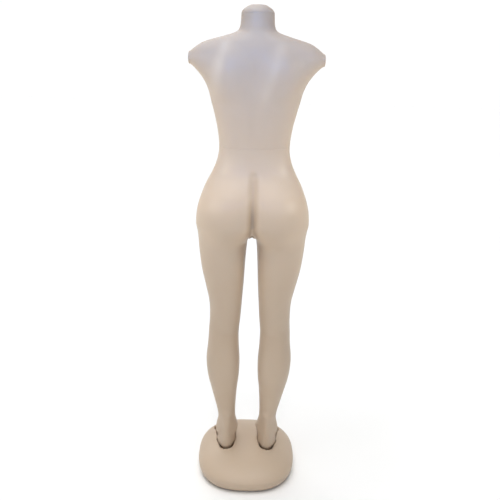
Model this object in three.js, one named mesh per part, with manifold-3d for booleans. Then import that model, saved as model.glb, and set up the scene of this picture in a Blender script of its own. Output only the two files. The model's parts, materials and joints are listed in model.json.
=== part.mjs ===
// Full body display mannequin: a headless, armless female figure moulded as two hollow
// plastic shells that meet at the waist, standing by its heels in the wells of a domed base.
// Millimetres, +Z up. The figure faces -Y. The origin is on the floor, under the middle of the base.

import * as THREE from "three";
import { mergeVertices } from "three/addons/utils/BufferGeometryUtils.js";
import Module from "manifold-3d";

const wasm = await Module();
wasm.setup();

// ---- Driving dimensions -------------------------------------------------------------------

const BASE_WIDTH = 338;
const BASE_DEPTH = 392;
const BASE_HEIGHT = 88;
const BASE_SQUARENESS = 2.6; // of the base seen from above; 2 would be a plain ellipse
const BASE_WIDEST_Z = 36;
const BASE_TUCK = 12; // how far the rim draws in below the widest line
const BASE_RIM_Z = 3;
const COVER_WALL = 4;

const WALL = 3; // of the figure's shells
const WAIST_Z = 1137;
const WAIST_GAP = 0.4;
const NECK_SEAM_Z = 1531;
const NECK_TOP_Z = 1556;
const ARM_END_X = 202;
const ARM_END_Z = 1402;
const CROTCH_Z = 849;
const FIT_GAP = 0.3; // between pieces that touch
const SLIDE_GAP = 0.5; // round a piece that is made to pull out

const HEEL_X = 70;
const FOOT_TOE_OUT = 3; // degrees
const FOOT_LENGTH = 214;
const HEEL_BACK_Y = 46; // behind the line of the legs
const WELL_GAP = 7; // behind the heel; 0.7 of it at the sides
const PEG_RADIUS = 5;
const PEG_FORWARD = 40; // from the back of the heel
const PEG_TOP_Z = 128;
const PEG_BOTTOM_Z = 1.6;
const PEG_COLLAR_RADIUS = 9;
const HEEL_SOCKET_RADIUS = 8;
const SOLE_AT_PEG_Z = 60;

const PLATE_Z = 9; // underside of the steel base plate
const PLATE_THICKNESS = 4;
const PLATE_INSET = 20; // from the widest outline of the base

const SWIVEL_RADIUS = 42;
const SWIVEL_FLANGE = 6;
const SHAFT_RADIUS = 10;
const TENON_SIDE = 44;
const NECK_SOCKET_RADIUS = 31;
const ARM_SOCKET_RADIUS = 11;
const SOCKET_WALL = 2.5;
const SOCKET_DEPTH = 14;
const ARM_CAP_THICKNESS = 4;
const ARM_CAP_PROUD = 0.2;
const SCREW_RADIUS = 2;
const SCREW_HEAD_RADIUS = 4;
const SCREW_SPREAD = 33; // of the four socket screws, from the middle along X and Y

const TRUNK_COUNT = 30; // points round each level outline
const LEG_COUNT = 12;
const FOOT_COUNT = 10;
const BASE_COUNT = 36;
const HIP_OVERLAP = 4; // how far the pelvis and the thighs draw in where each ends inside the other

// ---- The shape of the figure ----------------------------------------------------------------
// Stations run from the top down. Distances forward and back are from the line of the legs.

// Trunk: z, half width, reach to the back, reach to the front, y of the widest line, squareness.
const TRUNK = [
  [1560, 49, 36, 66, -15, 2.0],
  [1515, 50.5, 41, 64, -12, 2.0],
  [1494, 52.7, 47, 63, -8, 2.0],
  [1480, 58.5, 53, 63, -3, 2.0],
  [1468, 79, 58.5, 64, 2, 2.0],
  [1452, 114, 66, 67, 4, 2.1],
  [1430, 134, 75, 72, 5, 2.2],
  [1395, 144.5, 84.5, 81, 5, 2.3],
  [1350, 148, 91, 90, 4, 2.35],
  [1300, 142, 90, 96, 3, 2.35],
  [1250, 129.5, 82, 97, 1, 2.3],
  [1200, 118, 71, 92, -3, 2.25],
  [1155, 112, 62, 87, -8, 2.2],
  [1120, 112, 59, 87, -8, 2.2],
  [1085, 120.5, 63, 91, -5, 2.2],
  [1055, 133.5, 73, 96, 0, 2.25],
  [1020, 152, 98, 101, 6, 2.5],
  [985, 165.5, 120, 102, 12, 2.65],
  [945, 175, 131, 99, 17, 2.75],
  [900, 179.5, 124, 90, 18, 2.65],
  [868, 177, 110, 80, 14, 2.5],
  [820, 171, 93, 70, 8, 2.3],
];

// Arm stub: x, z of its middle, half height, half depth, y of its middle.
const ARM = [
  [90, 1392, 74, 58, 8],
  [134, 1390, 67, 58, 6],
  [163, 1397.5, 50, 51, 3],
  [180, 1401, 36.5, 43, 1],
  [195, 1402.5, 23.5, 33, 0],
  [204, 1402, 17, 28, 0],
];

// One leg: z, x of its middle, half width, reach to the back, reach to the front.
const LEG = [
  [900, 92, 87, 96, 84],
  [850, 93.5, 81, 93, 80],
  [800, 94, 76.5, 87, 78],
  [740, 92, 71, 79.5, 76],
  [680, 87, 63, 69, 72],
  [620, 83, 55, 58, 67],
  [560, 84, 52, 50, 62],
  [510, 87.5, 51, 47, 58],
  [470, 88, 52.5, 55, 52],
  [425, 88.5, 55.5, 69, 45],
  [385, 87.5, 54.5, 73, 42],
  [345, 85.5, 51, 69, 40],
  [300, 82.5, 44, 58, 38],
  [255, 78.5, 37, 48, 35],
  [210, 74, 31, 41, 33],
  [175, 71.5, 29.5, 38, 35],
  [145, 70.5, 30, 36, 38],
  [112, 70, 26.5, 32, 40],
];

// Foot, from the heel to the toes: forward of the heel, half width, sole z, top z.
const FOOT = [
  [0, 10, 74, 104],
  [8, 18, 64, 122],
  [24, 25, 60, 138],
  [45, 29, 60, 148],
  [72, 32, 60, 143],
  [100, 34, 56, 122],
  [128, 38.5, 46, 98],
  [152, 41, 38, 80],
  [174, 40.5, 35, 68],
  [194, 36, 35, 61],
  [207, 27, 36, 57],
  [FOOT_LENGTH, 14, 40, 52],
];

const BREAST = { at: [71, -70, 1266], size: [62, 64, 57] };
const BREAST_SLOPE = { at: [67, -54, 1312], size: [54, 50, 82] };
const BUTTOCK = { at: [80, 56, 925], size: [80, 80, 92] };
const SHOULDER_BLADE = { at: [74, 56, 1352], size: [50, 36, 66] };

const CLEFT = { top: 1052, halfWidth: 14, depth: 12 };

// A smooth curve through the stations' values in one column, at the position `at`.
function along(stations, column, at) {
  const falls = stations[0][0] > stations[stations.length - 1][0];
  const order = falls ? (a, b) => a >= b : (a, b) => a <= b;
  let i = 0;
  while (i < stations.length - 2 && !order(at, stations[i + 1][0])) i++;
  const [before, a, b, after] = [i - 1, i, i + 1, i + 2].map(
    (k) => stations[Math.min(Math.max(k, 0), stations.length - 1)],
  );
  const span = b[0] - a[0];
  const t = Math.min(Math.max((at - a[0]) / span, 0), 1);
  const slopeA = (b[column] - before[column]) / (b[0] - before[0]);
  const slopeB = (after[column] - a[column]) / (after[0] - a[0]);
  return (
    a[column] * (1 + 2 * t) * (1 - t) ** 2 +
    slopeA * span * t * (1 - t) ** 2 +
    b[column] * t * t * (3 - 2 * t) -
    slopeB * span * t * t * (1 - t)
  );
}

// Union of two distances that rounds the crease between them over `round` millimetres.
function blend(a, b, round) {
  const h = Math.max(round - Math.abs(a - b), 0) / round;
  return Math.min(a, b) - (h * h * round) / 4;
}

// Distance to an oval outline that reaches different distances to the back and the front.
function ovalDistance(x, y, halfWidth, back, front, widest, squareness) {
  const v = y - widest;
  const reach = v > 0 ? back - widest : front + widest;
  const q = (Math.abs(x / halfWidth) ** squareness + Math.abs(v / reach) ** squareness) ** (1 / squareness);
  return q > 1e-6 ? Math.hypot(x, v) * (1 - 1 / q) : -Math.min(halfWidth, reach);
}

function ellipsoidDistance(x, y, z, { at, size }, side = 1) {
  const p = [x - side * at[0], y - at[1], z - at[2]];
  const q = Math.hypot(...p.map((v, i) => v / size[i]));
  const r = Math.hypot(...p.map((v, i) => v / size[i] ** 2));
  return r > 1e-9 ? (q * (q - 1)) / r : -Math.min(...size);
}

function armDistance(x, y, z) {
  const [middle, high, deep, behind] = [1, 2, 3, 4].map((c) => along(ARM, c, Math.abs(x)));
  return ovalDistance(y - behind, z - middle, deep, high, high, 0, 2);
}

// One leg, with its half of the seat.
function legDistance(x, y, z, side) {
  const [middle, half, back, front] = [1, 2, 3, 4].map((c) => along(LEG, c, z));
  const leg = ovalDistance(x - side * middle, y, half, back, front, (back - front) / 2, 2.1);
  return blend(leg, ellipsoidDistance(x, y, z, BUTTOCK, side), 44);
}

// The long shallow channel between the buttocks, as a depth to take off the back.
function cleftDepth(x, y, z) {
  if (y < 0) return 0;
  const across = Math.exp(-((x / CLEFT.halfWidth) ** 2));
  const ends = 1 / (1 + Math.exp((z - CLEFT.top) / 6));
  return CLEFT.depth * across * ends;
}

function trunkDistance(x, y, z) {
  const [half, back, front, widest, square] = [1, 2, 3, 4, 5].map((c) => along(TRUNK, c, z));
  let d = ovalDistance(x, y, half, back, front, widest, square);
  d = blend(d, armDistance(x, y, z), 34);
  for (const side of [-1, 1]) {
    d = blend(d, ellipsoidDistance(x, y, z, BREAST_SLOPE, side), 26);
    d = blend(d, ellipsoidDistance(x, y, z, BREAST, side), 16);
    d = blend(d, ellipsoidDistance(x, y, z, SHOULDER_BLADE, side), 26);
    d = blend(d, ellipsoidDistance(x, y, z, BUTTOCK, side), 34);
  }
  return d + cleftDepth(x, y, z);
}

// ---- Turning outlines into solids -------------------------------------------------------------

function solidOf(geometry) {
  const bare = geometry.clone();
  bare.deleteAttribute("normal");
  bare.deleteAttribute("uv");
  const merged = mergeVertices(bare, 1e-3);
  return new wasm.Manifold(
    new wasm.Mesh({
      numProp: 3,
      vertProperties: merged.attributes.position.array,
      triVerts: new Uint32Array(merged.index.array),
    }),
  );
}

function geometryOf(solid) {
  const mesh = solid.getMesh();
  const geometry = new THREE.BufferGeometry();
  geometry.setAttribute("position", new THREE.BufferAttribute(new Float32Array(mesh.vertProperties), 3));
  geometry.setIndex(new THREE.BufferAttribute(new Uint32Array(mesh.triVerts), 1));
  return geometry;
}

// The largest piece of a solid, without the slivers that a cut can leave beside it.
function withoutSlivers(solid) {
  const pieces = solidOf(geometryOf(solid)).decompose();
  return pieces.sort((a, b) => b.volume() - a.volume())[0];
}

// A closed skin over rings of points, all with the same count, with a flat fan at each end.
function skin(rings) {
  const count = rings[0].length;
  const points = rings.flat();
  const faces = [];
  for (let r = 0; r + 1 < rings.length; r++)
    for (let i = 0; i < count; i++) {
      const j = (i + 1) % count;
      const [a, b, c, d] = [r * count + i, r * count + j, (r + 1) * count + j, (r + 1) * count + i];
      faces.push([a, b, c], [a, c, d]);
    }
  for (const [r, flip] of [[0, true], [rings.length - 1, false]]) {
    const middle = new THREE.Vector3();
    rings[r].forEach((p) => middle.addScaledVector(p, 1 / count));
    points.push(middle);
    for (let i = 0; i < count; i++) {
      const edge = [r * count + i, r * count + ((i + 1) % count)];
      faces.push([points.length - 1, ...(flip ? edge.reverse() : edge)]);
    }
  }
  const geometry = new THREE.BufferGeometry();
  const places = points.flatMap((p) => [p.x, p.y, p.z]);
  geometry.setAttribute("position", new THREE.Float32BufferAttribute(places, 3));
  geometry.setIndex(faces.flat());
  return solidOf(geometry);
}

// Where a level ray from a middle point leaves the surface that lies `inset` inside `distance`.
function leaves(distance, middle, direction, z, inset) {
  let [near, far] = [0, 260];
  for (let step = 0; step < 26; step++) {
    const r = (near + far) / 2;
    if (distance(middle.x + r * direction.x, middle.y + r * direction.y, z) < -inset) near = r;
    else far = r;
  }
  return new THREE.Vector3(middle.x + near * direction.x, middle.y + near * direction.y, z);
}

// A level outline of the figure. Its points bunch up at the ends where the outline is slim.
function outline(distance, middle, z, inset, count, slim) {
  return Array.from({ length: count }, (_, i) => {
    const turn = (2 * Math.PI * (i + 0.5)) / count;
    const direction = new THREE.Vector2(Math.cos(turn), Math.sin(turn) * slim).normalize();
    return leaves(distance, middle, direction, z, inset);
  });
}

// How slim the trunk is at a level, front to back over side to side.
function slimness(z) {
  const ramp = THREE.MathUtils.smoothstep;
  return 0.7 - 0.32 * ramp(z, 1310, 1400) + 0.6 * ramp(z, 1435, 1495);
}

// The trunk between its levels, from the lowest up. Its bottom may be drawn in further.
function trunkSolid(levels, inset, bottomInset = inset) {
  const rings = levels.map((z, i) => {
    const middle = new THREE.Vector2(0, (along(TRUNK, 2, z) - along(TRUNK, 3, z)) / 2);
    return outline(trunkDistance, middle, z, i ? inset : bottomInset, TRUNK_COUNT, slimness(z));
  });
  return skin(rings);
}

function legSolid(levels, inset, side) {
  const distance = (x, y, z) => Math.max(legDistance(x, y, z, side), -side * x);
  const rings = levels.map((z, i) => {
    const [middle, back, front] = [1, 3, 4].map((c) => along(LEG, c, z));
    const drawnIn = i === levels.length - 1 ? inset + HIP_OVERLAP : inset;
    return outline(distance, new THREE.Vector2(side * middle, (back - front) / 2), z, drawnIn, LEG_COUNT, 1);
  });
  return skin(rings);
}

// A point of the foot, given forward of the heel, outward of its middle line, and up.
function footPoint(forward, outward, z, side) {
  const turn = THREE.MathUtils.degToRad(FOOT_TOE_OUT);
  const x = HEEL_X + forward * Math.sin(turn) + outward * Math.cos(turn);
  const y = HEEL_BACK_Y - forward * Math.cos(turn) + outward * Math.sin(turn);
  return new THREE.Vector3(side * x, y, z);
}

function footSolid(inset, side) {
  const rings = FOOT.map(([forward, half, sole, top]) => {
    const place = THREE.MathUtils.clamp(forward, inset, FOOT_LENGTH - inset);
    const [width, height] = [half - inset, (top - sole) / 2 - inset];
    return Array.from({ length: FOOT_COUNT }, (_, i) => {
      const turn = (side * 2 * Math.PI * i) / FOOT_COUNT;
      const [c, s] = [Math.cos(turn), Math.sin(turn)];
      const across = Math.sign(c) * Math.abs(c) ** 0.8 * width;
      const up = Math.sign(s) * Math.abs(s) ** 0.8 * height;
      return footPoint(place, across, (top + sole) / 2 + up, side);
    });
  });
  return skin(rings);
}

// The outline of the foot seen from above, `gap` outside its ends and less at its sides, to extrude.
function footShape(gap, side) {
  const half = FOOT.map(([forward, width]) => [forward, width + 0.7 * gap]);
  const [heel, toe] = [half[0][1] - gap / 2, half[half.length - 1][1] - gap / 2];
  const ends = [[-gap, heel], ...half, [FOOT_LENGTH + gap, toe]];
  const points = [
    ...ends.map(([forward, width]) => footPoint(forward, width, 0, side)),
    ...ends.reverse().map(([forward, width]) => footPoint(forward, -width, 0, side)),
  ];
  return new THREE.Shape(points.map((p) => new THREE.Vector2(p.x, p.y)));
}

function extruded(shape, bottom, top, curveSegments = 20) {
  const depth = top - bottom;
  const geometry = new THREE.ExtrudeGeometry(shape, { depth, bevelEnabled: false, curveSegments });
  return solidOf(geometry.translate(0, 0, bottom));
}

function cylinder(radius, bottom, top, x = 0, y = 0, segments = 16) {
  const geometry = new THREE.CylinderGeometry(radius, radius, top - bottom, segments);
  return solidOf(geometry.rotateX(Math.PI / 2).translate(x, y, (bottom + top) / 2));
}

// A solid of revolution about Z through points given as radius and height.
function turned(profile) {
  const geometry = new THREE.LatheGeometry(profile.map(([r, z]) => new THREE.Vector2(r, z)), 16);
  return solidOf(geometry.rotateX(Math.PI / 2));
}

function box(size, x, y, z) {
  return solidOf(new THREE.BoxGeometry(...size).translate(x, y, z));
}

function roundedSquare(side, corner) {
  const h = side / 2;
  const shape = new THREE.Shape();
  shape.moveTo(-h + corner, -h).lineTo(h - corner, -h);
  shape.absarc(h - corner, -h + corner, corner, -Math.PI / 2, 0);
  shape.absarc(h - corner, h - corner, corner, 0, Math.PI / 2);
  shape.absarc(-h + corner, h - corner, corner, Math.PI / 2, Math.PI);
  shape.absarc(-h + corner, -h + corner, corner, Math.PI, 1.5 * Math.PI);
  return shape;
}

// Lies a solid made along +Z down so that its +Z points along +X or -X.
const pointingOut = (solid, side) => solid.rotate([0, 90 * side, 0]);

// ---- Materials ----------------------------------------------------------------------------

const material = (color, roughness, metalness = 0) =>
  new THREE.MeshStandardMaterial({ color, roughness, metalness });
const SKIN = material(0xe3d3bf, 0.5);
const BASE_PLASTIC = material(0xdfd0bb, 0.5);
const FITTING = material(0xe9e4da, 0.55);
const STEEL = material(0xb4b6b8, 0.35, 1);
const PAINTED_STEEL = material(0x2b2b2c, 0.5, 0.6);
const RUBBER = material(0x1c1c1c, 0.85);

const mannequin = new THREE.Group();

function add(name, solid, finish) {
  const mesh = new THREE.Mesh(geometryOf(solid), finish);
  mesh.geometry.computeVertexNormals();
  mesh.name = name;
  mannequin.add(mesh);
}

const SIDES = [
  ["left", 1],
  ["right", -1],
];

// ---- Figure: lower body ------------------------------------------------------------------------

const PELVIS_LEVELS = [WAIST_Z, 1105, 1070, 1035, 1000, 965, 930, 900, 870, CROTCH_Z + 4];
const LEG_LEVELS = [868, 845, 822, 796, 750, 690, 620, 555, 500, 455, 415, 370, 315, 260, 205, 170, 140, 112];

function pegPlace(side) {
  return footPoint(PEG_FORWARD, 0, 0, side);
}

function lowerBody(inset) {
  const [pelvis, leg] = [PELVIS_LEVELS, LEG_LEVELS].map((levels) => [...levels].reverse());
  pelvis[0] += inset;
  pelvis[pelvis.length - 1] += 2 * inset;
  let solid = trunkSolid(pelvis, inset, inset + HIP_OVERLAP);
  for (const [, side] of SIDES) solid = solid.add(legSolid(leg, inset, side)).add(footSolid(inset, side));
  return solid;
}

let lowerShell = lowerBody(0).subtract(lowerBody(WALL));
for (const [, side] of SIDES) {
  const peg = pegPlace(side);
  const bore = cylinder(HEEL_SOCKET_RADIUS + FIT_GAP, 40, SOLE_AT_PEG_Z + 12, peg.x, peg.y);
  lowerShell = lowerShell.subtract(bore);
}
const aboveWaist = box([900, 900, 60], 0, 0, WAIST_Z + 30 - WAIST_GAP / 2);
add("lower_body_shell", withoutSlivers(lowerShell.subtract(aboveWaist)), SKIN);

// A tube set in each heel, which slides down over the peg of the base.
for (const [name, side] of SIDES) {
  const peg = pegPlace(side);
  const tube = cylinder(HEEL_SOCKET_RADIUS, SOLE_AT_PEG_Z + 1, PEG_TOP_Z + 4, peg.x, peg.y);
  const flange = cylinder(HEEL_SOCKET_RADIUS + 3, SOLE_AT_PEG_Z + 9, SOLE_AT_PEG_Z + 12, peg.x, peg.y);
  const hole = cylinder(PEG_RADIUS + SLIDE_GAP, 0, PEG_TOP_Z + 1, peg.x, peg.y);
  add("heel_socket_" + name, tube.add(flange).subtract(hole), FITTING);
}

// ---- Figure: waist fitting -------------------------------------------------------------------

const WAIST_Y = (along(TRUNK, 2, WAIST_Z) - along(TRUNK, 3, WAIST_Z)) / 2;
const HIP_PLATE_TOP = WAIST_Z - 1.2;
const HIP_PLATE_BOTTOM = HIP_PLATE_TOP - 13;
const TENON_TOP = WAIST_Z + 27;

// An oval plug that fills the waist opening of a shell, from one level to another.
function waistPlug(bottom, top) {
  const middle = new THREE.Vector2(0, WAIST_Y);
  const ring = (z) => outline(trunkDistance, middle, z, WALL + FIT_GAP, TRUNK_COUNT, slimness(z));
  return skin([bottom, top].map(ring));
}

const swivelSeat = HIP_PLATE_TOP - SWIVEL_FLANGE - FIT_GAP;
const hipPlate = waistPlug(HIP_PLATE_BOTTOM, HIP_PLATE_TOP)
  .subtract(cylinder(SWIVEL_RADIUS + SLIDE_GAP, swivelSeat, WAIST_Z + 1, 0, WAIST_Y, 40))
  .subtract(cylinder(SHAFT_RADIUS + SLIDE_GAP, HIP_PLATE_BOTTOM - 1, swivelSeat + 1, 0, WAIST_Y));
add("hip_plate", hipPlate, FITTING);

const flangeBottom = swivelSeat + FIT_GAP;
const nutTop = HIP_PLATE_BOTTOM - 3;
const nutBottom = nutTop - 9;
const swivel = cylinder(SWIVEL_RADIUS, flangeBottom, HIP_PLATE_TOP, 0, WAIST_Y, 40)
  .add(cylinder(SHAFT_RADIUS, nutBottom - 4, flangeBottom + 1, 0, WAIST_Y))
  .add(extruded(roundedSquare(TENON_SIDE, 6), HIP_PLATE_TOP - 1, TENON_TOP, 3).translate([0, WAIST_Y, 0]));
add("waist_swivel", swivel, FITTING);

const washer = cylinder(19, HIP_PLATE_BOTTOM - 2.5, HIP_PLATE_BOTTOM - FIT_GAP, 0, WAIST_Y);
const shaftHole = cylinder(SHAFT_RADIUS + FIT_GAP, nutBottom - 1, HIP_PLATE_BOTTOM, 0, WAIST_Y);
add("swivel_washer", washer.subtract(shaftHole), STEEL);
const nut = cylinder(17, nutBottom, nutTop, 0, WAIST_Y, 6).subtract(shaftHole);
add("swivel_nut", nut, STEEL);

// ---- Figure: torso -------------------------------------------------------------------------

const CHEST_LEVELS = [WAIST_Z, 1175, 1210, 1240, 1265, 1290, 1315, 1335, 1350, 1362, 1373, 1382];
const ARM_LEVELS = [1389, 1396, 1403, 1410, 1417, 1424];
const SHOULDER_LEVELS = [1432, 1441, 1450, 1457, 1464, 1472, 1483, 1500, NECK_SEAM_Z];
const NECK_Y = (along(TRUNK, 2, NECK_SEAM_Z) - along(TRUNK, 3, NECK_SEAM_Z)) / 2;

function torso(inset) {
  const levels = [...CHEST_LEVELS, ...ARM_LEVELS, ...SHOULDER_LEVELS];
  levels[0] -= 2 * inset;
  levels[levels.length - 1] -= inset;
  const between = box([2 * (ARM_END_X - inset), 900, 900], 0, 0, WAIST_Z + 300);
  return trunkSolid(levels, inset).intersect(between);
}

let torsoShell = torso(0)
  .subtract(torso(WALL))
  .subtract(box([900, 900, 60], 0, 0, WAIST_Z - 30 + WAIST_GAP / 2))
  .subtract(cylinder(NECK_SOCKET_RADIUS + FIT_GAP, NECK_SEAM_Z - 20, NECK_SEAM_Z + 1, 0, NECK_Y, 28));
for (const [, side] of SIDES) {
  const hole = pointingOut(cylinder(ARM_SOCKET_RADIUS + FIT_GAP, -12, 4), side);
  torsoShell = torsoShell.subtract(hole.translate([side * ARM_END_X, 0, ARM_END_Z]));
}
add("torso_shell", withoutSlivers(torsoShell), SKIN);

const TORSO_PLATE_BOTTOM = WAIST_Z + 1.2;
const TORSO_PLATE_TOP = TORSO_PLATE_BOTTOM + 7;
const tenonHole = extruded(roundedSquare(TENON_SIDE + 2 * SLIDE_GAP, 6), WAIST_Z - 1, TENON_TOP + 1, 3);
const torsoPlate = waistPlug(TORSO_PLATE_BOTTOM, TORSO_PLATE_TOP).subtract(
  tenonHole.translate([0, WAIST_Y, 0]),
);

const socketBottom = TORSO_PLATE_TOP + FIT_GAP;
const socketFlange = extruded(roundedSquare(82, 12), socketBottom, socketBottom + 4, 3);
const socketCup = extruded(roundedSquare(TENON_SIDE + 9, 8), socketBottom, TENON_TOP + 5, 3);
let tenonSocket = socketFlange.add(socketCup).subtract(tenonHole).translate([0, WAIST_Y, 0]);

// A pan-head screw that points down, with its head resting on `seat` and its tip at `tip`.
function screwDown(x, y, seat, tip) {
  const head = cylinder(SCREW_HEAD_RADIUS, seat, seat + 2.4, x, y, 8);
  return cylinder(SCREW_RADIUS, tip, seat + 1, x, y, 8).add(head);
}

let plateWithHoles = torsoPlate;
const screwTip = TORSO_PLATE_BOTTOM + 1;
for (const [i, [sx, sy]] of [[1, 1], [-1, 1], [-1, -1], [1, -1]].entries()) {
  const [x, y] = [sx * SCREW_SPREAD, WAIST_Y + sy * SCREW_SPREAD];
  const hole = cylinder(SCREW_RADIUS + FIT_GAP, screwTip - FIT_GAP, socketBottom + 5, x, y, 8);
  plateWithHoles = plateWithHoles.subtract(hole);
  tenonSocket = tenonSocket.subtract(hole);
  add("socket_screw_" + (i + 1), screwDown(x, y, socketBottom + 4 + FIT_GAP, screwTip), STEEL);
}
add("torso_plate", plateWithHoles, FITTING);
add("tenon_socket", tenonSocket, FITTING);

// A flanged ring behind an opening, made along +Z with the opening's outside face at z 0.
function socketRing(radius) {
  const ring = cylinder(radius, -SOCKET_DEPTH, -0.5);
  const flange = cylinder(radius + 3, -WALL - 3, -WALL - FIT_GAP);
  return ring.add(flange).subtract(cylinder(radius - SOCKET_WALL, -SOCKET_DEPTH - 1, 0));
}

function capPlug(radius) {
  return cylinder(radius - SOCKET_WALL - SLIDE_GAP, 1 - SOCKET_DEPTH, 1);
}

add("neck_socket", socketRing(NECK_SOCKET_RADIUS).translate([0, NECK_Y, NECK_SEAM_Z]), FITTING);

// The neck is closed by a cap with a rounded shoulder and a flat top.
function neckCap() {
  const bottom = NECK_SEAM_Z + FIT_GAP;
  const profile = [[0, 1], [0.2, 0.98], [0.42, 0.905], [0.62, 0.785], [0.82, 0.62], [0.96, 0.46], [1, 0.38]];
  const seam = outline(trunkDistance, new THREE.Vector2(0, NECK_Y), NECK_SEAM_Z, 0, 28, 1);
  const rings = profile.map(([up, scale]) =>
    seam.map((p) => {
      const z = bottom + up * (NECK_TOP_Z - bottom);
      return new THREE.Vector3(p.x * scale, NECK_Y + (p.y - NECK_Y) * scale, z);
    }),
  );
  return skin(rings).add(capPlug(NECK_SOCKET_RADIUS).translate([0, NECK_Y, NECK_SEAM_Z]));
}
add("neck_cap", neckCap(), SKIN);

// Each arm ends in a thin oval cap a little larger than the cut end of the shoulder.

function armEndOutline(extra) {
  const reach = (ty, tz) => {
    let [near, far] = [0, 60];
    for (let step = 0; step < 24; step++) {
      const r = (near + far) / 2;
      if (trunkDistance(ARM_END_X, r * ty, ARM_END_Z + r * tz) < 0) near = r;
      else far = r;
    }
    return near + extra;
  };
  return Array.from({ length: 24 }, (_, i) => {
    const turn = (2 * Math.PI * i) / 24;
    const [ty, tz] = [Math.cos(turn), Math.sin(turn)];
    return [reach(ty, tz) * ty, reach(ty, tz) * tz];
  });
}

for (const [name, side] of SIDES) {
  const rings = [[0, ARM_CAP_PROUD], [0.7, ARM_CAP_PROUD], [1, -1]].map(([out, extra]) => {
    const x = ARM_END_X + FIT_GAP + out * ARM_CAP_THICKNESS;
    const ring = armEndOutline(extra).map(([y, z]) => new THREE.Vector3(side * x, y, ARM_END_Z + z));
    return side > 0 ? ring : ring.reverse();
  });
  const plug = pointingOut(capPlug(ARM_SOCKET_RADIUS), side).translate([side * ARM_END_X, 0, ARM_END_Z]);
  add("arm_cap_" + name, skin(rings).add(plug), SKIN);
  const ring = pointingOut(socketRing(ARM_SOCKET_RADIUS), side).translate([side * ARM_END_X, 0, ARM_END_Z]);
  add("arm_socket_" + name, ring, FITTING);
}

// ---- Base ----------------------------------------------------------------------------------

// A level outline of the base, drawn in by `inset` all round and then scaled.
function baseRing(inset, scale, z) {
  return Array.from({ length: BASE_COUNT }, (_, i) => {
    const turn = (2 * Math.PI * i) / BASE_COUNT;
    const squared = (v) => Math.sign(v) * Math.abs(v) ** (2 / BASE_SQUARENESS);
    const x = (BASE_WIDTH / 2 - inset) * scale * squared(Math.cos(turn));
    const y = (BASE_DEPTH / 2 - inset) * scale * squared(Math.sin(turn));
    return new THREE.Vector3(x, y, z);
  });
}

// The bun-shaped base, drawn in by `inset` all round.
function bun(inset) {
  const rise = BASE_HEIGHT - inset - BASE_WIDEST_Z;
  const rings = [
    baseRing(inset + BASE_TUCK, 1, BASE_RIM_Z),
    baseRing(inset + 0.5 * BASE_TUCK, 1, 0.6 * BASE_RIM_Z + 0.25 * BASE_WIDEST_Z),
    baseRing(inset + 0.12 * BASE_TUCK, 1, 0.3 * BASE_RIM_Z + 0.6 * BASE_WIDEST_Z),
  ];
  for (let i = 0; i < 9; i++) {
    const turn = (i / 9) * (Math.PI / 2);
    rings.push(baseRing(inset, Math.cos(turn) ** 0.667, BASE_WIDEST_Z + rise * Math.sin(turn) ** 1.333));
  }
  return skin([...rings, baseRing(inset, 0.06, BASE_HEIGHT - inset)]);
}

// Room for one foot: its outline seen from above, down to the sole.
function well(gap, drop, side) {
  const soles = FOOT.map(([forward, , sole]) => [forward, sole - drop]);
  const [heel, toe] = [soles[1][1], soles[10][1]];
  const floor = [[-20, heel], [8, heel], ...soles.slice(2, -1), [FOOT_LENGTH + 20, toe]];
  const profile = new THREE.Shape([
    ...floor.map(([forward, z]) => new THREE.Vector2(forward, z)),
    new THREE.Vector2(FOOT_LENGTH + 20, BASE_HEIGHT + 10),
    new THREE.Vector2(-20, BASE_HEIGHT + 10),
  ]);
  const turn = FOOT_TOE_OUT * side;
  const block = solidOf(
    new THREE.ExtrudeGeometry(profile, { depth: 140, bevelEnabled: false })
      .translate(0, 0, -70)
      .rotateX(Math.PI / 2)
      .rotateZ(-Math.PI / 2),
  )
    .rotate([0, 0, turn])
    .translate([side * HEEL_X, HEEL_BACK_Y, 0]);
  return extruded(footShape(gap, side), 0, BASE_HEIGHT + 5).intersect(block);
}

const PLATE_TOP = PLATE_Z + PLATE_THICKNESS;
const BASE_SCREW_RING = BASE_WIDTH / 2 - PLATE_INSET - 13;
const RUBBER_FOOT_RING = BASE_WIDTH / 2 - PLATE_INSET - 20;

// Places round the oval base, one for each angle in degrees.
const placesRound = (radius, degrees) =>
  degrees.map((turn) => {
    const t = THREE.MathUtils.degToRad(turn);
    return [radius * Math.cos(t), (radius * Math.sin(t) * BASE_DEPTH) / BASE_WIDTH];
  });
const screwPlaces = placesRound(BASE_SCREW_RING, [30, 90, 150, 210, 270, 330]);
const rubberPlaces = placesRound(RUBBER_FOOT_RING, [60, 120, 240, 300]);

let cover = bun(0).subtract(bun(COVER_WALL).translate([0, 0, -1]));
for (const [x, y] of screwPlaces)
  cover = cover.add(cylinder(7, PLATE_TOP + FIT_GAP, BASE_HEIGHT, x, y, 12).intersect(bun(COVER_WALL / 2)));
for (const [, side] of SIDES)
  cover = cover.add(well(WELL_GAP + 4.5, 3.5 + FIT_GAP, side).intersect(bun(1)));
for (const [, side] of SIDES) {
  const peg = pegPlace(side);
  cover = cover
    .subtract(well(WELL_GAP, FIT_GAP, side))
    .subtract(cylinder(PEG_RADIUS + SLIDE_GAP, 20, 80, peg.x, peg.y));
}
for (const [x, y] of screwPlaces) cover = cover.subtract(cylinder(SCREW_RADIUS, 5, PLATE_TOP + 15, x, y, 8));
add("base_cover", withoutSlivers(cover), BASE_PLASTIC);

let plate = skin([PLATE_Z, PLATE_TOP].map((z) => baseRing(PLATE_INSET, 1, z)));
for (const [x, y] of screwPlaces) plate = plate.subtract(cylinder(SCREW_RADIUS + FIT_GAP, 0, 30, x, y, 8));

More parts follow.
